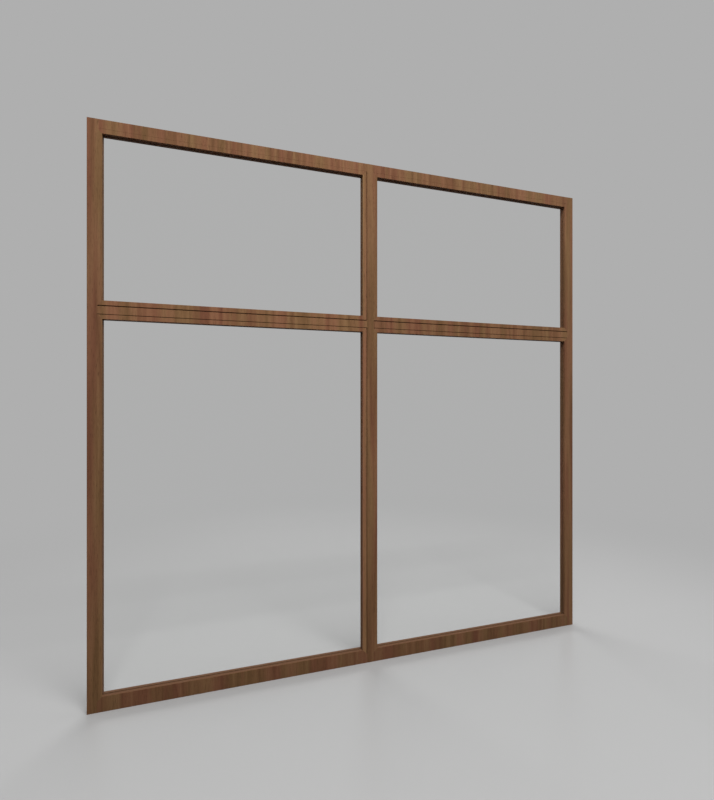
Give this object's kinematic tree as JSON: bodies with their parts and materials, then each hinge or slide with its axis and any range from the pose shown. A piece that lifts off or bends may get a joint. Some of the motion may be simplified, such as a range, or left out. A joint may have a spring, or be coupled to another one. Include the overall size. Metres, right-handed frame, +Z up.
{
  "type": "fixed glass partition",
  "caption": "Nearly square floor-to-ceiling timber screen with one mullion and one transom, clear fixed panes and mitred glazing stops on both faces.",
  "frame": {"origin": "middle of the underside: on the floor, under the mullion, halfway through the depth", "axes": "+X along the width, to the right seen from the front; the front faces -Y; +Z up"},
  "size_m": [3.025, 0.048, 3],
  "materials": {
    "walnut_members": "satin oiled walnut, grain upright",
    "walnut_stops": "satin oiled walnut, grain upright",
    "clear_glass": "clear polished glass"
  },
  "bodies": {
    "root": {"back_stop_lower_left_bottom": "walnut_stops", "back_stop_lower_left_left": "walnut_stops", "back_stop_lower_left_right": "walnut_stops", "back_stop_lower_left_top": "walnut_stops", "back_stop_lower_right_bottom": "walnut_stops", "back_stop_lower_right_left": "walnut_stops", "back_stop_lower_right_right": "walnut_stops", "back_stop_lower_right_top": "walnut_stops", "back_stop_upper_left_bottom": "walnut_stops", "back_stop_upper_left_left": "walnut_stops", "back_stop_upper_left_right": "walnut_stops", "back_stop_upper_left_top": "walnut_stops", "back_stop_upper_right_bottom": "walnut_stops", "back_stop_upper_right_left": "walnut_stops", "back_stop_upper_right_right": "walnut_stops", "back_stop_upper_right_top": "walnut_stops", "front_stop_lower_left_bottom": "walnut_stops", "front_stop_lower_left_left": "walnut_stops", "front_stop_lower_left_right": "walnut_stops", "front_stop_lower_left_top": "walnut_stops", "front_stop_lower_right_bottom": "walnut_stops", "front_stop_lower_right_left": "walnut_stops", "front_stop_lower_right_right": "walnut_stops", "front_stop_lower_right_top": "walnut_stops", "front_stop_upper_left_bottom": "walnut_stops", "front_stop_upper_left_left": "walnut_stops", "front_stop_upper_left_right": "walnut_stops", "front_stop_upper_left_top": "walnut_stops", "front_stop_upper_right_bottom": "walnut_stops", "front_stop_upper_right_left": "walnut_stops", "front_stop_upper_right_right": "walnut_stops", "front_stop_upper_right_top": "walnut_stops", "glass_lower_left": "clear_glass", "glass_lower_right": "clear_glass", "glass_upper_left": "clear_glass", "glass_upper_right": "clear_glass", "head_left": "walnut_members", "head_right": "walnut_members", "left_stile": "walnut_members", "mullion": "walnut_members", "right_stile": "walnut_members", "sill_left": "walnut_members", "sill_right": "walnut_members", "transom_left": "walnut_members", "transom_right": "walnut_members"}
  },
  "joints": []
}
